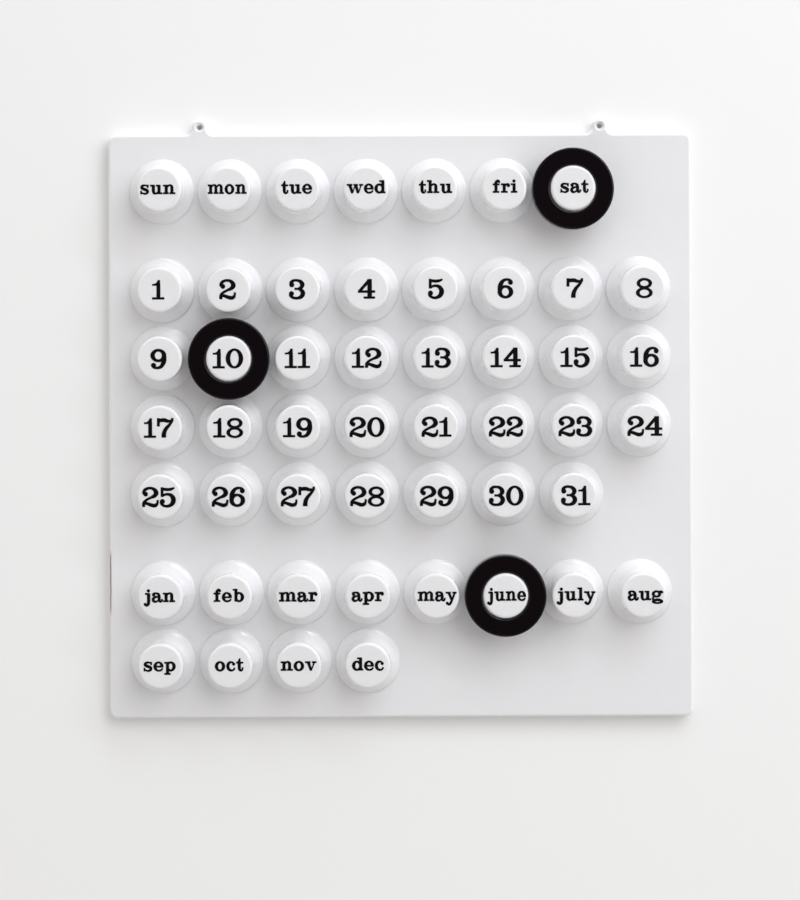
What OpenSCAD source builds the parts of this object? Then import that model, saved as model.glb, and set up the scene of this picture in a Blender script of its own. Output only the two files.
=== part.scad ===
// Perpetual wall calendar: a moulded panel of hollow knobs, and three rings that mark
// the day, the date and the month by hanging on the knobs.
// The calendar hangs upright: +X right, +Z up, the wall is the plane y = 0 and the
// front faces -Y. The origin is midway between the two hanging holes, on the wall.

/* [Panel] */
// Width of the panel
panel_w = 400; // [390:1:460]
// Height of the panel, without the lugs
panel_h = 400; // [385:1:460]
// Depth of the panel's edge, from the wall to its front face
panel_d = 9.5; // [7:0.5:14]
// Thickness of the moulded wall
wall = 2.2; // [1.6:0.1:2.8]
// Radius of the panel's corners, seen from the front
corner_r = 5; // [3.5:0.5:12]
// Rounding of the front edge
rim_r = 2; // [1:0.25:3]

/* [Knob layout] */
// Distance between neighbouring knobs
pitch = 46.6; // [46:0.1:48]
// Distance between the last row of one group and the first row of the next
group_gap = 67.6; // [56:0.2:70]
// Knobs in a full row
columns = 8; // [4:1:8]

/* [Knob] */
// Height of a knob above the panel's front face
knob_h = 24; // [20:0.5:30]
// Diameter of the peg where it leaves the flare
peg_d = 30.6; // [26:0.1:32]
// Length of the straight peg, from the flare to the tip
peg_len = 12; // [9:0.5:13]
// Draft of the peg on each side, in degrees
peg_draft = 0.6; // [0:0.1:1.5]
// Rounding of the tip's edge
tip_r = 1.8; // [0.8:0.1:2.5]
// Diameter of the foot where the flare ends
foot_d = 43.6; // [40:0.1:44]
// Rounding between the flare and the side of the foot
foot_r = 1; // [0.6:0.1:1.4]
// Height of the straight side of the foot, between its two roundings
foot_side = 0.4; // [0.2:0.1:1]
// Fillet between the foot and the panel
foot_fillet = 0.8; // [0.5:0.1:1]

/* [Marker rings] */
// Outer diameter of a ring
ring_d = 55.3; // [50:0.1:58]
// Thickness of a ring, front to back
ring_t = 10.6; // [8:0.2:12]
// Space between the ring's bore and the widest part of the peg, on each side
ring_clearance = 0.3; // [0.2:0.05:0.6]
// Space left between a hanging ring and the top of its peg
hang_gap = 0.05; // [0.02:0.01:0.1]
// Space left between the back of a ring and the flare
seat_gap = 0.3; // [0.1:0.1:1]
// Rounding of the ring's edges
ring_edge_r = 1.2; // [0.5:0.1:1.6]
// Wall of the hollow ring
ring_wall = 2.2; // [1.8:0.1:3]

/* [Shown date] */
// Weekday that is ringed, counted from sunday as 0
shown_day = 6; // [0:1:6]
// Date that is ringed
shown_date = 10; // [1:1:31]
// Month that is ringed
shown_month = 6; // [1:1:12]

/* [Hanging lugs] */
// Distance between the two hanging holes
lug_spacing = 274.5; // [120:0.5:320]
// Height of the holes above the panel's top edge
lug_rise = 5.1; // [4:0.1:8]
// Diameter of a lug's round head
lug_d = 10.2; // [9:0.1:14]
// Fillet between a lug and the panel's edge
lug_fillet = 4.5; // [3:0.1:8]
// Diameter of a hanging hole
lug_hole_d = 3.4; // [2.5:0.1:4.5]
// Diameter of the countersink at the front of a hanging hole
sink_d = 6.8; // [5:0.1:8]
// Depth of the countersink
sink_depth = 1.7; // [1:0.1:3]

/* [Hidden] */
$fn = 96;

// Overshoot of a cut past the face that it opens
cut = 1;
WHITE = [0.93, 0.93, 0.93];
BLACK = [0.06, 0.05, 0.06];

// Places on the panel are [across, up] from the origin, and depths count out from the wall.
panel_top = -lug_rise;
panel_mid = panel_top - panel_h / 2;
lug_places = [[-lug_spacing / 2, 0], [lug_spacing / 2, 0]];

// Where two roundings meet, one reaches this much into the other, so that their faces
// cross at a shallow angle instead of only touching.
bite = 0.02;
// Centre of a lug's fillet, between its head and the panel's edge
fillet_up = panel_top + lug_fillet - bite;
fillet_out = sqrt(pow(lug_d / 2 + lug_fillet - bite, 2) - pow(fillet_up, 2));

// Knobs in each group: weekdays, dates and months
counts = [7, 31, 12];
DAYS = 0;
DATES = 1;
MONTHS = 2;
function rows_of(group) = ceil(counts[group] / columns);
function rows_before(group) = group == 0 ? 0 : rows_before(group - 1) + rows_of(group - 1);
// Distance of a row below the first row: a pitch for each row, and more at each new group
function row_drop(group, row) =
    (rows_before(group) + row) * pitch + group * (group_gap - pitch);
last_drop = row_drop(MONTHS, rows_of(MONTHS) - 1);
first_row = panel_mid + last_drop / 2;
first_column = -(columns - 1) / 2 * pitch;
function knob_place(group, index) = [
    first_column + (index % columns) * pitch,
    first_row - row_drop(group, floor(index / columns))
];

// The knob's profile is [radius, height above the panel's face].
// The peg's side runs up from the shoulder, and side_out is the direction square to it.
shoulder = [peg_d / 2, knob_h - peg_len];
side_out = [cos(peg_draft), sin(peg_draft)];
// Centre of the tip's rounding, which touches the peg's side and the face
tip_up = knob_h - tip_r;
tip_mid = [shoulder.x - (tip_r + (tip_up - shoulder.y) * side_out.y) / side_out.x, tip_up];
// Centre of the rounding at the foot's edge
foot_mid = [foot_d / 2 - foot_r, foot_fillet + foot_side];
// The flare touches the peg's side at the shoulder and the rounding at the foot.
reach = foot_mid - shoulder;
flare_r = (reach * reach - foot_r * foot_r) / (2 * (reach * side_out + foot_r));
flare_mid = shoulder + flare_r * side_out;
// Inside of the knob: the same lines, one wall further in
hollow_top = knob_h - wall;
hollow_shoulder = shoulder - wall * side_out;
hollow_tip = [hollow_shoulder.x - (hollow_top - shoulder.y) * tan(peg_draft), hollow_top];
foot_in = (foot_mid - flare_mid) / norm(foot_mid - flare_mid);
hollow_foot = flare_mid + (flare_r + wall) * foot_in;

// A ring hangs low by its clearance, and its back stands just off the flare.
bore_d = peg_d + 2 * ring_clearance;
ring_drop = ring_clearance - hang_gap;
ring_back = panel_d + shoulder.y + seat_gap;

// Turns what is drawn on the wall's plane upright, so that depth runs towards the viewer
module upright() {
    rotate([90, 0, 0]) children();
}

// Section through the panel at its edge: `run` deep, with the front edge rounded
module edge_section(run) {
    square([run, panel_d - rim_r]);
    square([run - rim_r, panel_d]);
    translate([run - rim_r, panel_d - rim_r]) intersection() {
        circle(rim_r);
        square(rim_r);
    }
}

// Bar of the panel's depth, with two rounded front edges `across` apart, centred on the panel
module rounded_bar(across, length) {
    rotate([90, 0, 90]) linear_extrude(length, center = true)
        for (side = [0, 1])
            mirror([side, 0]) edge_section(across / 2);
}

// Cutter for the hollow side of a lug, which leaves a rounded edge at the front
module hollow_side() {
    rotate_extrude() {
        translate([0, -cut]) square([lug_fillet, panel_d + 2 * cut]);
        translate([0, panel_d - rim_r]) difference() {
            square([lug_fillet + rim_r, rim_r + cut]);
            translate([lug_fillet + rim_r, 0]) circle(rim_r);
        }
    }
}

// One lug: its round head, and a neck between two hollow sides that runs into the panel
module lug() {
    rotate_extrude() edge_section(lug_d / 2);
    difference() {
        linear_extrude(panel_d) polygon([
            [0, 0],
            [fillet_out, fillet_up],
            [fillet_out, panel_top - corner_r],
            [-fillet_out, panel_top - corner_r],
            [-fillet_out, fillet_up]
        ]);
        for (side = [-1, 1])
            translate([side * fillet_out, fillet_up]) hollow_side();
    }
}

// The panel and its lugs as one solid block with a rounded front edge
module panel_block() {
    side_w = panel_w - 2 * corner_r;
    side_h = panel_h - 2 * corner_r;
    translate([0, panel_mid]) {
        rounded_bar(panel_h, side_w);
        rotate(90) rounded_bar(panel_w, side_h);
        for (side = [0, 1], end = [0, 1])
            mirror([side, 0]) mirror([0, end]) translate([side_w / 2, side_h / 2])
                rotate_extrude(angle = 90) edge_section(corner_r);
    }
    for (place = lug_places)
        translate(place) lug();
}

// Space behind the panel's face, open towards the wall
module panel_hollow() {
    round_in = corner_r - wall;
    half = [panel_w / 2 - wall, panel_h / 2 - wall];
    translate([0, panel_mid, -cut]) linear_extrude(panel_d - wall + cut) {
        square([2 * half.x, 2 * (half.y - round_in)], center = true);
        square([2 * (half.x - round_in), 2 * half.y], center = true);
        for (side = [-1, 1], end = [-1, 1])
            translate([side * (half.x - round_in), end * (half.y - round_in)]) circle(round_in);
    }
}

// Outside of a knob: peg with a rounded tip, flare and filleted foot
module knob_profile() {
    difference() {
        polygon([
            [0, -wall / 2], [foot_mid.x, -wall / 2], foot_mid, flare_mid, shoulder,
            tip_mid + tip_r * side_out, tip_mid, [tip_mid.x, knob_h], [0, knob_h]
        ]);
        translate(flare_mid) circle(flare_r + bite);
    }
    translate(tip_mid) circle(tip_r);
    // Foot and its fillet, which reach into the panel's wall
    translate(foot_mid) circle(foot_r);
    translate([0, -wall / 2]) square([foot_d / 2, foot_mid.y + wall / 2]);
    difference() {
        translate([0, -wall / 2]) square([foot_d / 2 + foot_fillet, foot_fillet + wall / 2]);
        translate([foot_d / 2 + foot_fillet, foot_fillet]) circle(foot_fillet);
    }
}

// Inside of a knob, open to the space behind the panel's face
module hollow_profile() {
    difference() {
        polygon([
            [0, -wall - cut], [hollow_foot.x, -wall - cut], hollow_foot, flare_mid,
            hollow_shoulder, hollow_tip, [0, hollow_top]
        ]);
        translate(flare_mid) circle(flare_r + wall + bite);
    }
}

// Puts a copy of the children at every knob's place, on the panel's front face
module at_knobs() {
    for (group = [DAYS, DATES, MONTHS], index = [0:counts[group] - 1])
        translate(concat(knob_place(group, index), panel_d)) children();
}

module panel() {
    color(WHITE) upright() difference() {
        union() {
            panel_block();
            at_knobs() rotate_extrude() knob_profile();
        }
        panel_hollow();
        at_knobs() rotate_extrude() hollow_profile();
        for (place = lug_places)
            translate(place) {
                translate([0, 0, -cut]) cylinder(d = lug_hole_d, h = panel_d + 2 * cut);
                translate([0, 0, panel_d - sink_depth])
                    cylinder(d1 = lug_hole_d, d2 = sink_d, h = sink_depth);
            }
    }
}

// Section of a ring: a rounded channel that is open at the back
module ring_profile() {
    inner = bore_d / 2;
    outer = ring_d / 2;
    difference() {
        union() {
            translate([inner + ring_edge_r, 0])
                square([outer - inner - 2 * ring_edge_r, ring_t]);
            translate([inner, ring_edge_r])
                square([outer - inner, ring_t - 2 * ring_edge_r]);
            for (x = [inner + ring_edge_r, outer - ring_edge_r], z = [ring_edge_r, ring_t - ring_edge_r])
                translate([x, z]) circle(ring_edge_r);
        }
        translate([inner + ring_wall, -cut])
            square([outer - inner - 2 * ring_wall, ring_t - ring_wall + cut]);
    }
}

// A marker ring hung on one knob
module marker_ring(group, index) {
    color(BLACK) upright()
        translate(concat(knob_place(group, index) - [0, ring_drop], ring_back))
            rotate_extrude() ring_profile();
}

module day_ring() {
    marker_ring(DAYS, shown_day);
}

module date_ring() {
    marker_ring(DATES, shown_date - 1);
}

module month_ring() {
    marker_ring(MONTHS, shown_month - 1);
}

panel();
day_ring();
date_ring();
month_ring();
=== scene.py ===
"""Perpetual calendar: the finish and the print of a moulded wall calendar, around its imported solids.

The panel and its three rings come from model.glb and get their materials here. The days, dates
and months are thin ink on the knobs' faces, and their letters are drawn from stems, slabs, bowls
and pen strokes. The model's axes hold: +X right, +Z up, and the front faces -Y.
"""
import math

import bmesh
import bpy
from bpy.props import EnumProperty, FloatProperty, FloatVectorProperty, PointerProperty
from mathutils import Matrix, Vector
from mathutils.geometry import delaunay_2d_cdt


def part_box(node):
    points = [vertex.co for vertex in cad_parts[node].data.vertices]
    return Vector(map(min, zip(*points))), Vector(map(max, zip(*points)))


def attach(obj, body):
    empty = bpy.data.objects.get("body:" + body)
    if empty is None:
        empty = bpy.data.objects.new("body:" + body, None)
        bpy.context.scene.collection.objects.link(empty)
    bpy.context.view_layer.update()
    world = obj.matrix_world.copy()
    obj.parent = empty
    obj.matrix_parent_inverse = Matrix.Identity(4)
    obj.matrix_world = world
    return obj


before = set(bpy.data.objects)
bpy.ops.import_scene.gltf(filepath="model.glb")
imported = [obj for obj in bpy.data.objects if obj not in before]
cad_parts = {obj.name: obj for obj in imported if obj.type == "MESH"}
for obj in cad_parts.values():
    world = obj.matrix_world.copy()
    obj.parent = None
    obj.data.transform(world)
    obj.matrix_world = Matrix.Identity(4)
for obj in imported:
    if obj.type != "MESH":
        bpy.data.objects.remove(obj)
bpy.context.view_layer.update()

bl_info = {
    "name": "Perpetual calendar",
    "version": (1, 0, 0),
    "blender": (4, 5, 0),
    "location": "View3D > Sidebar > Calendar",
    "description": "Plastic, print and stage for a wall calendar with marker rings",
    "category": "Add Mesh",
}

MM = 0.001
# From the panel's middle to every lamp, in metres
LAMP_DISTANCE = 3.2


def srgb(code):
    """Linear RGBA of an sRGB hex value such as 'E6E6E4'."""
    values = [int(code[i:i + 2], 16) / 255 for i in (0, 2, 4)]
    return [v / 12.92 if v <= 0.04045 else ((v + 0.055) / 1.055) ** 2.4 for v in values] + [1.0]


# The rings show where the knobs are: day ring on the 7th weekday, date ring on the 10th,
# month ring on the 6th month. Each ring hangs this far below its knob's centre.
RING_DROP = 0.25 * MM
COLUMNS = 8


def ring_knob(node):
    """Place (x, z) of the knob that carries a ring."""
    low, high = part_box(node)
    middle = (low + high) / 2
    return Vector((middle.x, middle.z + RING_DROP))


DAY_KNOB, DATE_KNOB, MONTH_KNOB = (ring_knob(n) for n in ("day_ring", "date_ring", "month_ring"))
PITCH = (DAY_KNOB.x - DATE_KNOB.x) / 5
FIRST_COLUMN = DATE_KNOB.x - PITCH
FACE_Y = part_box("panel")[0].y

DAYS = ["sun", "mon", "tue", "wed", "thu", "fri", "sat"]
DATES = [str(n) for n in range(1, 32)]
MONTHS = ["jan", "feb", "mar", "apr", "may", "june", "july", "aug", "sep", "oct", "nov", "dec"]
# Words of each group and the height of its first row
GROUPS = {
    "DAYS": (DAYS, DAY_KNOB.y),
    "DATES": (DATES, DATE_KNOB.y + PITCH),
    "MONTHS": (MONTHS, MONTH_KNOB.y),
}


# Letters are drawn in units of about a twentieth of a figure's height, from the baseline up.
# Each helper returns closed outlines, and a letter is the union of its outlines.
STEM, SLAB, X_HEIGHT, ASCENDER = 2.8, 1.6, 9.2, 12.8
FIGURE_SLAB, FIGURE_HEIGHT = 2.0, 19.4
TOP = X_HEIGHT - SLAB
CURVE_STEPS = 6
BOWL_STEP = 10
# How far the ink spreads past the drawn outlines
SPREAD = 0.18


def bar(x0, y0, x1, y1):
    """Rectangle between two corners."""
    x0, y0, x1, y1 = x0 - SPREAD, y0 - SPREAD, x1 + SPREAD, y1 + SPREAD
    return [[(x0, y0), (x1, y0), (x1, y1), (x0, y1)]]


def slab(x0, x1, y):
    """Serif or crossbar with its lower edge at y."""
    return bar(x0, y, x1, y + SLAB)


def stem(x, low=0.0, high=X_HEIGHT):
    """Upright stem of a small letter, with its left side at x."""
    return bar(x, low, x + STEM, high)


def shape(*points):
    """Any straight-sided outline."""
    return [list(points)]


def dot(x, y, r):
    """Round dot or ball."""
    r += SPREAD
    angles = [math.radians(a) for a in range(0, 360, 15)]
    return [[(x + r * math.cos(a), y + r * math.sin(a)) for a in angles]]


def strip(rim):
    """Triangles between neighbouring pairs of points along a band."""
    halves = [[[a[0], b[0], b[1]], [a[0], b[1], a[1]]] for a, b in zip(rim, rim[1:])]
    return [half for pair in halves for half in pair]


def bowl(x, y, rx, ry, side, top, start=0, end=360):
    """Round band, `side` wide at its sides and `top` wide at top and bottom."""
    steps = max(4, round((end - start) / BOWL_STEP))
    angles = [math.radians(start + (end - start) * k / steps) for k in range(steps + 1)]
    rx, ry, side, top = rx + SPREAD, ry + SPREAD, side + 2 * SPREAD, top + 2 * SPREAD
    return strip([
        ((x + rx * math.cos(a), y + ry * math.sin(a)),
         (x + (rx - side) * math.cos(a), y + (ry - top) * math.sin(a)))
        for a in angles
    ])


def smooth(b, c, a, d, t):
    """Point between b and c on a smooth curve whose neighbouring points are a and d."""
    return 0.5 * (2 * b + (c - a) * t + (2 * a - 5 * b + 4 * c - d) * t ** 2
                  + (3 * b - a - 3 * c + d) * t ** 3)


def stroke(*points):
    """Pen stroke along a smooth curve through (x, y, width) points."""
    knots = [points[0], *points, points[-1]]
    line = [
        [smooth(b, c, a, d, k / CURVE_STEPS) for a, b, c, d in zip(p, q, r, s)]
        for p, q, r, s in zip(knots, knots[1:], knots[2:], knots[3:])
        for k in range(CURVE_STEPS)
    ] + [points[-1]]
    rim = []
    for i, (x, y, width) in enumerate(line):
        back, ahead = line[max(i - 1, 0)], line[min(i + 1, len(line) - 1)]
        run = Vector((ahead[0] - back[0], ahead[1] - back[1])).normalized() * (width / 2 + SPREAD)
        rim.append(((x - run.y, y + run.x), (x + run.y, y - run.x)))
    return strip(rim)


# Shoulder of n, h and m: it leaves one stem and comes down as the next
ARCH = ((0, 6.9, 1.2), (1.1, 8.45, 1.6), (2.7, 8.75, 1.8), (4.0, 7.7, 2.5), (4.35, 6.0, STEM),
        (4.35, 0.4, STEM))


def arch(x):
    """Shoulder that starts on the stem whose right side is at x."""
    return stroke(*[(x + a, b, w) for a, b, w in ARCH])


LETTERS = {
    "a": dot(1.9, 6.9, 1.4)
        + stroke((0.9, 7.0, 1.5), (1.6, 8.3, 1.7), (4.0, 8.8, 1.6), (6.4, 8.0, 2.3), (7.3, 5.8, 2.8),
                 (7.3, 2.6, 2.8), (7.8, 0.9, 2.2), (9.0, 0.4, 1.7), (10.0, 1.4, 1.5), (10.2, 3.1, 1.4))
        + stroke((6.4, 5.5, 1.4), (3.7, 4.9, 1.9), (1.5, 3.3, 2.6), (1.9, 1.1, 2.6), (3.9, 0.3, 1.8),
                 (6.2, 1.4, 1.4)),
    "b": stem(1.8, 0.3, ASCENDER) + slab(0, 4, ASCENDER - SLAB)
        + bowl(6.3, 4.65, 4.9, 5.0, 3.1, 1.8, -145, 145),
    "c": dot(7.3, 6.8, 1.45)
        + stroke((7.6, 7.3, 1.6), (5.4, 8.8, 1.6), (2.6, 7.8, 2.5), (1.45, 4.7, 2.9), (2.6, 1.6, 2.6),
                 (5.2, 0.4, 1.8), (7.4, 1.3, 1.6), (8.4, 3.2, 1.4)),
    "d": stem(7.1, 0, ASCENDER) + slab(5.2, 8, ASCENDER - SLAB) + slab(9, 11.1, 0)
        + bowl(4.95, 4.65, 4.95, 5.0, 3.1, 1.8, 35, 325),
    "e": bowl(4.9, 4.65, 4.9, 5.0, 2.9, 1.7, 0, 275) + bar(2.4, 3.8, 9.75, 5.3)
        + stroke((4.9, 0.5, 1.7), (6.6, 0.7, 1.8), (8.1, 1.5, 1.6), (9.0, 2.9, 1.3)),
    "f": slab(0, 6.6, TOP - 0.1) + slab(0.1, 6.4, 0) + dot(6.1, 11.0, 1.2)
        + stroke((3.2, 0.4, STEM), (3.2, 8.0, STEM), (3.3, 10.4, 2.7), (4.7, 12.2, 1.8),
                 (6.5, 11.8, 1.4)),
    "g": bowl(4.6, 6.1, 4.6, 3.5, 2.8, 1.75) + dot(10.1, 7.9, 1.2)
        + stroke((7.2, 8.2, 1.5), (8.6, 8.8, 1.5), (10.0, 8.3, 1.6))
        + stroke((2.4, 3.6, 1.5), (1.1, 2.3, 1.8), (1.4, 0.6, 2.3), (2.4, 0.0, 2.2))
        + bowl(5.6, -1.55, 5.6, 3.1, 3.1, 2.6, 0, 180)
        + bowl(5.6, -1.55, 5.6, 2.25, 3.1, 1.7, 180, 360),
    "h": stem(1.7, 0, ASCENDER) + slab(0, 4, ASCENDER - SLAB) + slab(0, 5.5, 0) + slab(6.4, 12, 0)
        + arch(4.4),
    "i": dot(3.1, 11.6, 1.45) + slab(0, 4, TOP) + stem(1.8) + slab(0.1, 6.3, 0),
    "j": dot(4.7, 11.3, 1.45) + slab(1.4, 5, TOP - 0.2) + dot(1.5, -2.3, 1.45)
        + stroke((4.9, 8.95, 3.0), (4.9, 1.0, 3.0), (4.6, -1.9, 2.6), (3.3, -3.5, 1.9), (1.5, -3.2, 1.5)),
    "l": slab(0, 4, ASCENDER - SLAB) + stem(1.8, 0, ASCENDER) + slab(0.2, 5.9, 0),
    "m": slab(0, 4, TOP) + stem(1.6) + slab(0, 5.1, 0) + slab(6.3, 11.2, 0) + slab(12.2, 17.2, 0)
        + arch(4.3) + arch(10.0),
    "n": slab(0, 4, TOP) + stem(1.7) + slab(0, 5.5, 0) + slab(6.4, 12, 0) + arch(4.4),
    "o": bowl(5.1, 4.6, 5.1, 5.1, 3.0, 1.8),
    "p": slab(0, 4, TOP) + stem(1.7, -3.5) + slab(0, 6.1, -3.6)
        + bowl(6.2, 4.7, 5.0, 4.95, 3.1, 1.8, -145, 145),
    "r": slab(0, 4, TOP) + stem(1.8) + slab(0.1, 6.5, 0) + dot(7.4, 7.2, 1.55)
        + stroke((4.3, 6.6, 1.2), (5.3, 8.3, 1.5), (6.8, 8.75, 1.5), (8.2, 8.0, 1.4)),
    "s": bar(6.8, 6.3, 8.2, 9.3) + bar(0, 0, 1.4, 3.3)
        + stroke((7.4, 7.9, 1.3), (4.5, 8.8, 1.6), (1.9, 8.0, 2.3), (1.6, 6.1, 2.7), (4.2, 4.8, 2.8),
                 (6.8, 3.5, 2.8), (6.9, 1.5, 2.4), (4.5, 0.3, 1.7), (0.9, 1.4, 1.3)),
    "t": slab(0, 6.8, TOP - 0.2) + shape((0.7, 8.6), (4.4, 8.6), (4.2, 12.7), (3.0, 12.7))
        + stroke((3.0, 9.0, STEM), (3.0, 3.0, STEM), (3.5, 1.1, 2.4), (4.9, 0.4, 1.8), (6.1, 1.4, 1.5),
                 (6.3, 3.6, 1.4)),
    "u": slab(0, 4, TOP) + slab(5.9, 9, TOP) + stem(7.4) + slab(9, 12, 0)
        + stroke((3.2, X_HEIGHT, STEM), (3.2, 3.2, STEM), (3.8, 1.2, 2.5), (5.4, 0.5, 1.8),
                 (7.0, 1.2, 1.5), (7.9, 2.6, 1.3)),
    "v": slab(0, 5.2, TOP) + slab(6.9, 11.1, TOP)
        + shape((1.3, 8.6), (4.6, 8.6), (6.9, 1.4), (6.6, -0.2), (4.6, -0.2))
        + shape((8.4, 8.6), (10.1, 8.6), (6.6, -0.2), (5.1, -0.2)),
    "w": slab(0, 5.6, TOP) + slab(7.0, 11.3, TOP) + slab(12.7, 16.6, TOP)
        + shape((1.2, 8.6), (4.5, 8.6), (6.8, 1.4), (6.4, -0.2), (4.4, -0.2))
        + shape((7.4, 8.6), (10.6, 8.6), (12.7, 1.4), (12.4, -0.2), (10.3, -0.2))
        + shape((8.0, 8.6), (9.4, 8.6), (6.4, -0.2), (5.0, -0.2))
        + shape((14.0, 8.6), (15.6, 8.6), (12.4, -0.2), (11.0, -0.2)),
    "y": slab(0, 5.2, TOP - 0.2) + slab(7.1, 11.2, TOP - 0.2) + dot(1.5, -2.3, 1.4)
        + shape((1.4, 8.6), (4.7, 8.6), (7.4, 1.2), (5.6, -0.8))
        + stroke((9.6, 8.6, 1.7), (6.7, 1.4, 1.9), (5.3, -1.7, 2.2), (3.8, -3.4, 2.1), (1.7, -3.4, 1.6)),
}
FIGURES = {
    "0": bowl(8.6, 9.75, 8.6, 9.9, 4.3, 2.1),
    "1": bar(0, 0, 11.9, FIGURE_SLAB) + bar(4.4, 0, 8.0, 15)
        + shape((0, 13.6), (8.0, 13.6), (8.0, FIGURE_HEIGHT), (5.5, FIGURE_HEIGHT), (5.0, 17.8),
                (3.9, 16.4), (2.4, 15.6), (0, 15.5)),
    "2": dot(3.5, 12.7, 2.2) + bar(0, 0, 2.8, 3.6)
        + stroke((2.2, 12.6, 2.6), (1.6, 14.6, 2.9), (2.9, 17.0, 2.9), (6.2, 18.6, 2.4),
                 (10.0, 18.4, 2.6), (12.9, 16.4, 3.8), (13.9, 13.4, 4.5), (12.0, 10.8, 3.5),
                 (8.2, 9.0, 2.3), (4.4, 7.0, 2.3), (1.9, 4.8, 2.5), (1.4, 3.0, 2.7))
        + stroke((1.6, 3.4, 2.8), (4.6, 3.4, 2.8), (8.2, 2.1, 3.3), (11.4, 1.2, 3.5), (14.1, 2.0, 3.2),
                 (15.3, 4.2, 2.1), (15.4, 6.9, 1.8)),
    "3": dot(3.1, 14.0, 2.35) + dot(2.75, 5.2, 2.35)
        + stroke((2.1, 14.2, 2.6), (2.6, 16.6, 2.9), (5.0, 18.3, 2.5), (8.3, 18.5, 2.3),
                 (11.6, 17.4, 3.3), (13.6, 14.5, 4.2), (12.6, 11.6, 3.4), (9.6, 10.1, 2.1),
                 (5.8, 10.1, 2.0))
        + stroke((9.0, 10.1, 2.0), (11.4, 9.4, 2.9), (13.6, 7.4, 3.9), (14.1, 4.9, 4.3),
                 (12.2, 1.9, 3.6), (8.3, 0.65, 2.4), (4.4, 1.2, 2.6), (2.0, 3.2, 2.8), (1.9, 5.2, 2.6)),
    "4": bar(9.5, 0, 13.7, FIGURE_HEIGHT) + bar(0, 5.9, 16.9, 8.1) + bar(5.7, 0, 16.8, FIGURE_SLAB)
        + shape((0, 7.9), (9.9, FIGURE_HEIGHT), (13.7, FIGURE_HEIGHT), (9.5, 13.9), (4.0, 8.0)),
    "5": bar(1.3, 10.0, 3.8, FIGURE_HEIGHT) + dot(2.8, 5.2, 2.4)
        + stroke((1.5, 18.3, 2.2), (4.8, 17.5, 2.7), (8.6, 17.2, 2.8), (12.0, 17.7, 2.5),
                 (14.9, 19.1, 1.3))
        + stroke((2.2, 10.2, 1.4), (5.0, 12.0, 2.2), (8.4, 12.5, 2.5), (11.9, 11.2, 3.6),
                 (13.9, 7.4, 4.6), (12.8, 3.3, 4.1), (9.5, 0.95, 2.9), (6.0, 0.6, 2.4), (2.7, 2.2, 2.6),
                 (1.5, 4.6, 2.6)),
    "6": bowl(7.9, 6.2, 7.75, 6.6, 4.15, 2.5) + dot(13.0, 15.6, 2.3)
        + stroke((14.2, 16.2, 2.4), (12.0, 18.0, 2.5), (8.8, 18.5, 2.3), (5.4, 17.0, 3.3),
                 (3.0, 13.2, 4.3), (2.2, 8.6, 4.0), (2.6, 5.4, 3.6)),
    "7": bar(0.2, 11.3, 2.8, FIGURE_HEIGHT) + bar(14.3, 16.6, 16.5, FIGURE_HEIGHT)
        + stroke((1.4, 16.6, 3.0), (4.6, 17.4, 3.5), (8.0, 17.4, 3.6), (11.2, 16.4, 2.9),
                 (14.8, 16.6, 2.4))
        + stroke((15.4, 18.0, 2.2), (14.8, 16.0, 2.2), (12.4, 12.7, 2.7), (9.5, 9.4, 3.3),
                 (7.5, 5.8, 3.9), (6.9, 2.6, 4.2), (6.9, 0.0, 4.2)),
    "8": bowl(8.4, 14.2, 7.6, 5.2, 3.3, 2.3) + bowl(8.3, 4.75, 8.25, 5.35, 3.45, 2.1),
    "9": bowl(7.8, 13.0, 7.8, 6.55, 4.15, 2.5) + dot(3.0, 3.2, 2.4)
        + stroke((13.6, 13.6, 3.6), (13.7, 10.6, 4.2), (13.1, 6.4, 4.3), (10.9, 2.4, 3.4),
                 (7.6, 0.7, 2.4), (3.9, 1.0, 2.4), (1.8, 2.6, 2.4)),
}
# Space between neighbours, and what some letters add to the space on their right
LETTER_GAP = 0.55
FIGURE_GAP = 0.85
EXTRA_GAP = {"a": -0.65, "j": 0.75, "s": 0.45, "o": 0.3, "t": 0.1, "e": 0.1}
# The words' middle is a little above the middle of the small letters.
WORD_DROP = 4.65


def set_text(text):
    """Outlines of a word or number, centred in width on 0, and its full width."""
    table, gap = (FIGURES, FIGURE_GAP) if text[0] in FIGURES else (LETTERS, LETTER_GAP)
    outlines, pen = [], 0.0
    for before, char in zip(" " + text, text):
        if before != " ":
            pen += gap + EXTRA_GAP.get(before, 0)
        xs = [x for outline in table[char] for x, y in outline]
        outlines += [[(x - min(xs) + pen, y) for x, y in outline] for outline in table[char]]
        pen += max(xs) - min(xs)
    return [[(x - pen / 2, y) for x, y in outline] for outline in outlines], pen


class CalendarPrint(bpy.types.PropertyGroup):
    """Sizes of the print."""
    figure_height: FloatProperty(
        name="Figure height", description="Height of the dates' figures",
        default=13.1 * MM, unit="LENGTH")
    widest_word: FloatProperty(
        name="Widest word", description="Longer words are set narrower to this width",
        default=26.3 * MM, unit="LENGTH")
    ink_film: FloatProperty(
        name="Ink film", description="How far the ink stands proud of a knob's face",
        default=0.03 * MM, unit="LENGTH")
    # Deep enough for the widest words, whose ends lie on the rounding of the tip
    key: FloatProperty(
        name="Key", description="How far the ink reaches into the knob's face",
        default=0.3 * MM, unit="LENGTH")
    shift: FloatProperty(
        name="Shift", description="How far the print lies to the right of the knobs' middles",
        default=0.15 * MM, unit="LENGTH")
    spread: FloatProperty(
        name="Spread", description="Share by which the print's columns are wider than the knobs'",
        default=0.0045)
    ink_colour: FloatVectorProperty(
        name="Ink", description="Colour of the ink", subtype="COLOR", size=4,
        default=srgb("0D090D"))


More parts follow.
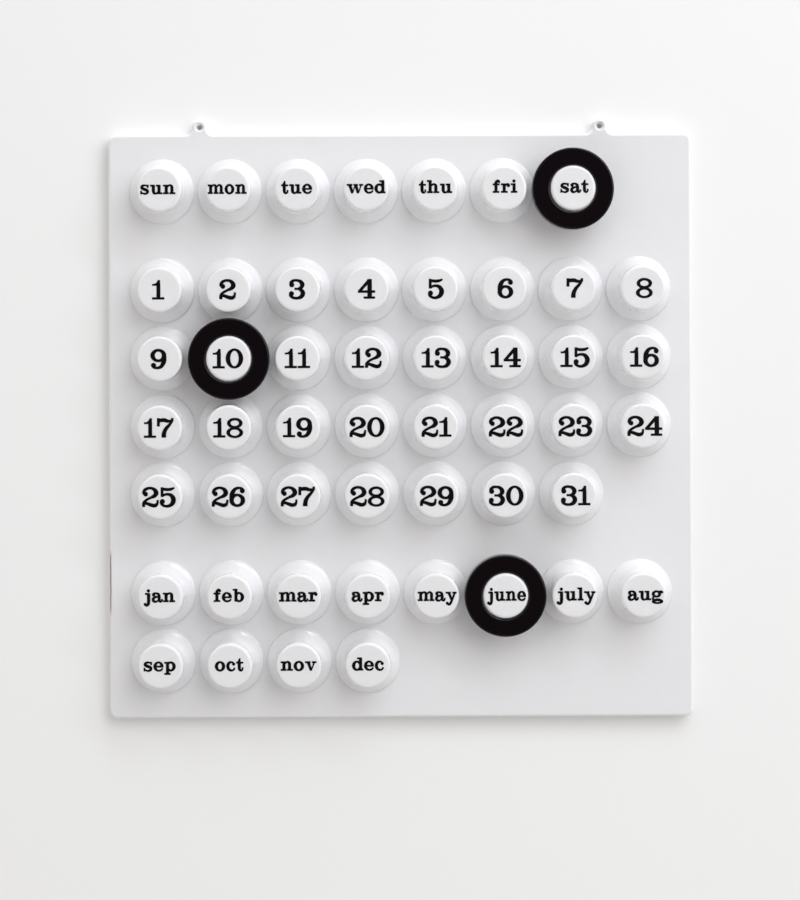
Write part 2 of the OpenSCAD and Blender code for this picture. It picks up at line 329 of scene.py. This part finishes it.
class CalendarPlastic(bpy.types.PropertyGroup):
    """Colours and surface of the moulded plastic."""
    panel_colour: FloatVectorProperty(
        name="Panel", description="Colour of the panel", subtype="COLOR", size=4,
        default=srgb("EDEDEF"))
    ring_colour: FloatVectorProperty(
        name="Rings", description="Colour of the rings", subtype="COLOR", size=4,
        default=srgb("100B0E"))
    gloss: FloatProperty(
        name="Roughness", description="Roughness of the polished mould's surface", default=0.12,
        min=0.0, max=1.0, subtype="FACTOR")
    glow: FloatProperty(
        name="Glow", description="Share of the light that scatters inside the white plastic",
        default=0.7, min=0.0, max=1.0, subtype="FACTOR")
    ripple: FloatProperty(
        name="Ripple", description="Width of the faint waves in the moulded surface",
        default=9.0 * MM, unit="LENGTH")


class CalendarStage(bpy.types.PropertyGroup):
    """Wall, camera and lamps."""
    wall_colour: FloatVectorProperty(
        name="Wall", description="Colour of the wall", subtype="COLOR", size=4,
        default=srgb("F6F6F6"))
    camera_distance: FloatProperty(
        name="Camera distance", description="From the camera to the knobs' faces",
        default=1.375, unit="LENGTH")
    focal_length: FloatProperty(
        name="Focal length", description="Of a lens on a 36 mm wide sensor, in millimetres",
        default=81.6)
    roll: FloatProperty(
        name="Roll", description="How far the camera leans clockwise",
        default=math.radians(0.23), unit="ROTATION")
    window_power: FloatProperty(
        name="Window power", description="Bright window up on the right, in watts", default=23.0)
    sky_power: FloatProperty(
        name="Sky power", description="Broad light from above, in watts", default=22.0)
    front_power: FloatProperty(
        name="Front power", description="Soft light from the room's front, in watts", default=25.5)
    low_power: FloatProperty(
        name="Low power", description="Weak light from the floor, in watts", default=4.5)
    back_power: FloatProperty(
        name="Back power", description="Lamp for the calendar's back, in watts", default=75.0)
    room_level: FloatProperty(
        name="Room level", description="Strength of the even light of the room", default=0.82)


def node(tree, kind, links=None, **settings):
    """Adds a shader node. links maps a socket's name or number to a socket or a value."""
    made = tree.nodes.new(kind)
    for key, value in settings.items():
        setattr(made, key, value)
    for key, value in (links or {}).items():
        if isinstance(value, bpy.types.NodeSocket):
            tree.links.new(value, made.inputs[key])
        else:
            made.inputs[key].default_value = value
    return made


def new_material(name):
    """An empty node material and its tree."""
    material = bpy.data.materials.new(name)
    material.use_nodes = True
    material.node_tree.nodes.clear()
    return material, material.node_tree


def finish_material(tree, shader):
    """Connects a shader's output to the surface."""
    node(tree, "ShaderNodeOutputMaterial", {"Surface": shader.outputs[0]})


# Height of the rust line's middle, and half its length with and without its faded ends
RUST_MIDDLE = -312.6 * MM
RUST_REACH, RUST_FULL = 24 * MM, 18 * MM


def rust_line(tree, place, colour):
    """The plastic's colour with a hairline of rust down the front of the panel's left rim."""
    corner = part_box("panel")[0]
    spot = node(tree, "ShaderNodeSeparateXYZ", {0: place})
    # The line is 0.7 mm wide, and wanders by a few tenths of a millimetre.
    wander = node(tree, "ShaderNodeTexNoise", {"Vector": place, "Scale": 1 / (5 * MM), "Detail": 2.0})
    drift = node(tree, "ShaderNodeMapRange",
                 {"Value": wander.outputs["Fac"], "To Min": 0.0, "To Max": 0.5 * MM})
    from_edge = node(tree, "ShaderNodeMath", {0: spot.outputs["X"], 1: drift.outputs["Result"]},
                     operation="SUBTRACT")
    across = node(tree, "ShaderNodeMath", {0: from_edge.outputs[0], 1: corner.x + 0.45 * MM},
                  operation="SUBTRACT")
    near = node(tree, "ShaderNodeMath", {0: across.outputs[0]}, operation="ABSOLUTE")
    line = node(tree, "ShaderNodeMapRange",
                {"Value": near.outputs[0], "From Min": 0.25 * MM, "From Max": 0.45 * MM,
                 "To Min": 1.0, "To Max": 0.0})
    # It fades out over its last few millimetres, from red-brown to orange.
    off_middle = node(tree, "ShaderNodeMath", {0: spot.outputs["Z"], 1: RUST_MIDDLE},
                      operation="SUBTRACT")
    reach = node(tree, "ShaderNodeMath", {0: off_middle.outputs[0]}, operation="ABSOLUTE")
    length = node(tree, "ShaderNodeMapRange",
                  {"Value": reach.outputs[0], "From Min": RUST_FULL, "From Max": RUST_REACH,
                   "To Min": 1.0, "To Max": 0.0})
    tip = node(tree, "ShaderNodeMapRange",
               {"Value": reach.outputs[0], "From Min": 12 * MM, "From Max": 22 * MM})
    in_front = node(tree, "ShaderNodeMath", {0: spot.outputs["Y"], 1: -7.5 * MM},
                    operation="LESS_THAN")
    there = node(tree, "ShaderNodeMath", {0: line.outputs["Result"], 1: length.outputs["Result"]},
                 operation="MULTIPLY")
    amount = node(tree, "ShaderNodeMath", {0: there.outputs[0], 1: in_front.outputs[0]},
                  operation="MULTIPLY")
    rust = node(tree, "ShaderNodeMixRGB",
                {0: tip.outputs["Result"], 1: srgb("6E3A32"), 2: srgb("B98A5E")})
    stained = node(tree, "ShaderNodeMixRGB",
                   {0: amount.outputs[0], 1: colour, 2: rust.outputs[0]})
    return stained.outputs[0]


def moulded_abs(name, colour, roughness, ripple, shine=0.5, glow=0.0, rusty=False):
    """Glossy ABS from a polished mould: faint waves where the skin cooled, fine handling marks.

    White ABS lets a little light in, which softens its fillets. glow is how much of it does.
    shine is the strength of the reflection.
    """
    material, tree = new_material(name)
    place = node(tree, "ShaderNodeTexCoord").outputs["Object"]
    # Sink waves of the skin: they bend a reflection and can't be seen as relief.
    waves = node(tree, "ShaderNodeTexNoise",
                 {"Vector": place, "Scale": 1 / ripple, "Detail": 2.0, "Roughness": 0.4})
    # Handling marks: small patches that are a little duller.
    marks = node(tree, "ShaderNodeTexNoise",
                 {"Vector": place, "Scale": 1 / (2.5 * MM), "Detail": 4.0, "Roughness": 0.6})
    dull = node(tree, "ShaderNodeMapRange",
                {"Value": marks.outputs["Fac"], "From Min": 0.35, "From Max": 0.75,
                 "To Min": roughness * 0.85, "To Max": roughness * 1.4})
    relief = node(tree, "ShaderNodeBump",
                  {"Height": waves.outputs["Fac"], "Strength": 0.25, "Distance": 0.02 * MM})
    base = rust_line(tree, place, colour) if rusty else colour
    shader = node(tree, "ShaderNodeBsdfPrincipled",
                  {"Base Color": base, "Roughness": dull.outputs["Result"],
                   "Normal": relief.outputs["Normal"], "IOR": 1.53,
                   "Specular IOR Level": shine, "Subsurface Weight": glow,
                   "Subsurface Radius": (1.0, 0.95, 0.9), "Subsurface Scale": 1.4 * MM})
    finish_material(tree, shader)
    return material


def screen_ink(name, colour):
    """Black screen ink: a film with a gloss that a fine mesh grain breaks up."""
    material, tree = new_material(name)
    place = node(tree, "ShaderNodeTexCoord").outputs["Object"]
    grain = node(tree, "ShaderNodeTexNoise",
                 {"Vector": place, "Scale": 1 / (0.5 * MM), "Detail": 2.0})
    sheen = node(tree, "ShaderNodeMapRange",
                 {"Value": grain.outputs["Fac"], "To Min": 0.16, "To Max": 0.28})
    shader = node(tree, "ShaderNodeBsdfPrincipled",
                  {"Base Color": colour, "Roughness": sheen.outputs["Result"], "IOR": 1.48})
    finish_material(tree, shader)
    return material


def dress(obj, material):
    """Gives an object one material."""
    obj.data.materials.clear()
    obj.data.materials.append(material)


def add_object(name, mesh):
    """A new object at the origin that holds a finished mesh."""
    obj = bpy.data.objects.new(name, mesh)
    bpy.context.scene.collection.objects.link(obj)
    return obj


def turned_left(outline):
    """The outline with its points counterclockwise, or None where it has no area."""
    area = sum(a[0] * b[1] - b[0] * a[1] for a, b in zip(outline, outline[1:] + outline[:1]))
    if abs(area) < 1e-6:
        return None
    return outline if area > 0 else outline[::-1]


def inside(outline, x, y):
    """Whether a point lies in an outline."""
    crossings = [
        (a[1] > y) != (b[1] > y) and x < a[0] + (y - a[1]) * (b[0] - a[0]) / (b[1] - a[1])
        for a, b in zip(outline, outline[1:] + outline[:1])
    ]
    return sum(crossings) % 2 == 1


def add_ink(bm, outlines, scale, x, z):
    """Adds the flat union of the outlines to bm, upright around (x, z) and facing -Y."""
    outlines = [outline for outline in map(turned_left, outlines) if outline]
    points, faces = [], []
    for outline in outlines:
        faces.append(list(range(len(points), len(points) + len(outline))))
        points += [Vector(p) for p in outline]
    found, _, shapes, _, _, owners = delaunay_2d_cdt(points, [], faces, 1, 1e-4)
    verts = [bm.verts.new((x + p.x * scale.x, 0, z + p.y * scale.y)) for p in found]
    for corners, owner in zip(shapes, owners):
        # A thin overlap can make the triangulation fill a letter's counter, so each face is tested.
        middle = sum((found[i] for i in corners), Vector((0, 0))) / len(corners)
        if any(inside(outlines[i], *middle) for i in owner):
            bm.faces.new([verts[i] for i in corners])


class CALENDAR_OT_print(bpy.types.Operator):
    """Prints the words or numbers of one group on the knobs' faces"""
    bl_idname = "calendar.print_group"
    bl_label = "Print a group"
    bl_options = {"REGISTER", "UNDO"}
    group: EnumProperty(
        name="Group", description="Which knobs to print",
        items=[("DAYS", "Days", "The weekdays"), ("DATES", "Dates", "1 to 31"),
               ("MONTHS", "Months", "The months")])

    def execute(self, context):
        sizes = context.scene.calendar_print
        unit = sizes.figure_height / FIGURE_HEIGHT
        words, first_row = GROUPS[self.group]
        bm = bmesh.new()
        for index, word in enumerate(words):
            row, column = divmod(index, COLUMNS)
            x = FIRST_COLUMN + column * PITCH
            outlines, width = set_text(word)
            narrow = min(1.0, sizes.widest_word / (width * unit))
            drop = FIGURE_HEIGHT / 2 if word[0] in FIGURES else WORD_DROP
            add_ink(bm, outlines, Vector((unit * narrow, unit)),
                    x * (1 + sizes.spread) + sizes.shift, first_row - row * PITCH - drop * unit)
        bmesh.ops.delete(bm, geom=[v for v in bm.verts if not v.link_faces], context="VERTS")
        bmesh.ops.translate(bm, verts=bm.verts, vec=(0, FACE_Y + sizes.key, 0))
        grown = bmesh.ops.extrude_face_region(bm, geom=bm.faces[:], use_keep_orig=True)["geom"]
        bmesh.ops.translate(bm, verts=[g for g in grown if isinstance(g, bmesh.types.BMVert)],
                            vec=(0, -sizes.key - sizes.ink_film, 0))
        bmesh.ops.recalc_face_normals(bm, faces=bm.faces)
        mesh = bpy.data.meshes.new("print_" + self.group.lower())
        bm.to_mesh(mesh)
        bm.free()
        piece = add_object(mesh.name, mesh)
        ink = bpy.data.materials.get("screen_ink") or screen_ink("screen_ink", sizes.ink_colour)
        dress(piece, ink)
        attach(piece, "root")
        return {"FINISHED"}


class CALENDAR_OT_plastic(bpy.types.Operator):
    """Gives the panel and the rings their moulded plastic"""
    bl_idname = "calendar.plastic"
    bl_label = "Finish the plastic"
    bl_options = {"REGISTER", "UNDO"}

    def execute(self, context):
        looks = context.scene.calendar_plastic
        white = moulded_abs("white_moulded_abs", looks.panel_colour, looks.gloss, looks.ripple,
                            glow=looks.glow, rusty=True)
        black = moulded_abs("black_moulded_abs", looks.ring_colour, looks.gloss, looks.ripple,
                            shine=0.3)
        dress(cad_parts["panel"], white)
        for name in ("day_ring", "date_ring", "month_ring"):
            dress(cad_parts[name], black)
        return {"FINISHED"}


def lamp(name, off_axis, around, size, power, colour=(1.0, 1.0, 1.0)):
    """A rectangular lamp that faces the panel's middle.

    off_axis is its angle from the panel's axis, around its angle up from the right, and size
    its width along that circle and its height across it.
    """
    low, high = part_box("panel")
    middle = (low + high) / 2
    tilt, turn = math.radians(off_axis), math.radians(around)
    outward = Vector((math.sin(tilt) * math.cos(turn), -math.cos(tilt), math.sin(tilt) * math.sin(turn)))
    along = Vector((-math.sin(turn), 0, math.cos(turn)))
    light = bpy.data.lights.new(name, "AREA")
    light.shape = "RECTANGLE"
    light.size, light.size_y = size
    light.energy = power
    light.color = colour
    obj = bpy.data.objects.new(name, light)
    axes = Matrix((along, outward.cross(along), outward)).transposed()
    obj.matrix_world = Matrix.Translation(middle + outward * LAMP_DISTANCE) @ axes.to_4x4()
    bpy.context.scene.collection.objects.link(obj)
    return obj


def room_light(world, level, colour):
    """Even light from the room in front of the wall, which is dark straight behind the camera.

    Only the camera sees a pale backdrop in every direction.
    """
    world.use_nodes = True
    tree = world.node_tree
    tree.nodes.clear()
    direction = node(tree, "ShaderNodeTexCoord").outputs["Generated"]
    axes = node(tree, "ShaderNodeSeparateXYZ", {0: direction})
    depth = axes.outputs["Y"]
    # -1 is straight out of the wall, and 0 is along it.
    front = node(tree, "ShaderNodeMapRange",
                 {"Value": depth, "From Min": -0.96, "From Max": -0.78, "To Min": 0.03, "To Max": 1.0},
                 interpolation_type="SMOOTHSTEP").outputs["Result"]
    side = node(tree, "ShaderNodeMapRange",
                {"Value": depth, "From Min": -0.02, "From Max": 0.02, "To Min": level, "To Max": 0.0})
    # The ceiling gives more light than the floor.
    height = node(tree, "ShaderNodeMapRange",
                  {"Value": axes.outputs["Z"], "From Min": -1.0, "To Min": 0.65, "To Max": 1.15})
    facing = node(tree, "ShaderNodeMath", {0: front, 1: side.outputs["Result"]},
                  operation="MULTIPLY")
    strength = node(tree, "ShaderNodeMath", {0: facing.outputs[0], 1: height.outputs["Result"]},
                    operation="MULTIPLY").outputs[0]
    room = node(tree, "ShaderNodeBackground", {"Color": colour, "Strength": strength})
    backdrop = node(tree, "ShaderNodeBackground", {"Color": srgb("F4F4F4"), "Strength": 1.0})
    seen = node(tree, "ShaderNodeLightPath").outputs["Is Camera Ray"]
    both = node(tree, "ShaderNodeMixShader", {0: seen, 1: room.outputs[0], 2: backdrop.outputs[0]})
    node(tree, "ShaderNodeOutputWorld", {"Surface": both.outputs[0]})


def painted_wall(name, colour):
    """White emulsion on plaster, lit as it is in front and clear from behind."""
    material, tree = new_material(name)
    place = node(tree, "ShaderNodeTexCoord").outputs["Object"]
    grain = node(tree, "ShaderNodeTexNoise",
                 {"Vector": place, "Scale": 1 / (6 * MM), "Detail": 5.0, "Roughness": 0.6})
    relief = node(tree, "ShaderNodeBump",
                  {"Height": grain.outputs["Fac"], "Strength": 0.15, "Distance": 0.3 * MM})
    paint = node(tree, "ShaderNodeBsdfPrincipled",
                 {"Base Color": colour, "Roughness": 0.8, "Normal": relief.outputs["Normal"]})
    clear = node(tree, "ShaderNodeBsdfTransparent")
    side = node(tree, "ShaderNodeNewGeometry").outputs["Backfacing"]
    both = node(tree, "ShaderNodeMixShader", {0: side, 1: paint.outputs[0], 2: clear.outputs[0]})
    finish_material(tree, both)
    return material


class CALENDAR_OT_stage(bpy.types.Operator):
    """Builds the wall, the lamps and the camera"""
    bl_idname = "calendar.stage"
    bl_label = "Build the stage"
    bl_options = {"REGISTER", "UNDO"}

    def execute(self, context):
        scene, stage = context.scene, context.scene.calendar_stage
        low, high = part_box("panel")
        middle = (low + high) / 2

        bm = bmesh.new()
        bmesh.ops.create_grid(bm, x_segments=1, y_segments=1, size=4.0)
        bmesh.ops.rotate(bm, verts=bm.verts, matrix=Matrix.Rotation(math.radians(90), 3, "X"))
        bmesh.ops.translate(bm, verts=bm.verts, vec=(0, high.y, middle.z))
        mesh = bpy.data.meshes.new("wall")
        bm.to_mesh(mesh)
        bm.free()
        wall = add_object("wall", mesh)
        dress(wall, painted_wall("painted_wall", stage.wall_colour))
        # Light from behind reaches the calendar's open back, for the views from there.
        wall.visible_shadow = False

        # Daylight is a little bluer than the light of the room.
        daylight, room_tone = (0.91, 0.935, 1.0), (1.0, 0.98, 0.95, 1.0)
        narrow, broad = (2.8, 0.3), (2.2, 2.2)
        lamp("window", 60, 52, narrow, stage.window_power, daylight)
        lamp("sky", 55, 76, broad, stage.sky_power, daylight)
        lamp("room_front", 40, 30, broad, stage.front_power)
        lamp("room_low", 48, 250, broad, stage.low_power)
        lamp("behind", 145, 90, (2.4, 2.4), stage.back_power)
        scene.world = scene.world or bpy.data.worlds.new("room")
        room_light(scene.world, stage.room_level, room_tone)

        scene.view_settings.view_transform = "Standard"
        self.place_camera(scene, stage)
        return {"FINISHED"}

    def place_camera(self, scene, stage):
        """Level camera that looks square at the wall, framed by a shift of the lens."""
        frame_px = Vector((800, 900))
        axis_px = Vector((355, 343))
        layout_px = Vector((401.2, 427.2))
        sensor = 36.0
        camera = bpy.data.cameras.new("camera")
        camera.lens, camera.sensor_width = stage.focal_length, sensor
        camera.shift_x = (frame_px.x / 2 - axis_px.x) / frame_px.y
        camera.shift_y = (axis_px.y - frame_px.y / 2) / frame_px.y
        per_px = stage.camera_distance * sensor / stage.focal_length / frame_px.y
        away = (axis_px - layout_px) * per_px
        layout = Vector((FIRST_COLUMN + 3.5 * PITCH, (DAY_KNOB.y + MONTH_KNOB.y - PITCH) / 2))
        obj = bpy.data.objects.new("camera", camera)
        obj.location = (layout.x + away.x, FACE_Y - stage.camera_distance, layout.y - away.y)
        obj.rotation_euler = (
            Matrix.Rotation(math.radians(90), 3, "X") @ Matrix.Rotation(-stage.roll, 3, "Z")
        ).to_euler()
        scene.collection.objects.link(obj)
        scene.camera = obj


class CALENDAR_PT_panel(bpy.types.Panel):
    """Sidebar panel that lists the steps and their settings"""
    bl_idname = "CALENDAR_PT_panel"
    bl_label = "Calendar"
    bl_space_type = "VIEW_3D"
    bl_region_type = "UI"
    bl_category = "Calendar"

    def draw(self, context):
        layout = self.layout
        layout.operator("calendar.plastic")
        for group in GROUPS:
            layout.operator("calendar.print_group", text="Print " + group.lower()).group = group
        layout.operator("calendar.stage")
        for settings in ("calendar_print", "calendar_plastic", "calendar_stage"):
            box = layout.box()
            values = getattr(context.scene, settings)
            for name in values.__annotations__:
                box.prop(values, name)


CLASSES = (CalendarPrint, CalendarPlastic, CalendarStage, CALENDAR_OT_print, CALENDAR_OT_plastic,
           CALENDAR_OT_stage, CALENDAR_PT_panel)


def register():
    for cls in CLASSES:
        bpy.utils.register_class(cls)
    bpy.types.Scene.calendar_print = PointerProperty(type=CalendarPrint)
    bpy.types.Scene.calendar_plastic = PointerProperty(type=CalendarPlastic)
    bpy.types.Scene.calendar_stage = PointerProperty(type=CalendarStage)


def unregister():
    for name in ("calendar_stage", "calendar_plastic", "calendar_print"):
        delattr(bpy.types.Scene, name)
    for cls in reversed(CLASSES):
        bpy.utils.unregister_class(cls)


def main():
    register()
    bpy.ops.calendar.plastic()
    for group in GROUPS:
        bpy.ops.calendar.print_group(group=group)
    bpy.ops.calendar.stage()


if __name__ == "__main__":
    main()
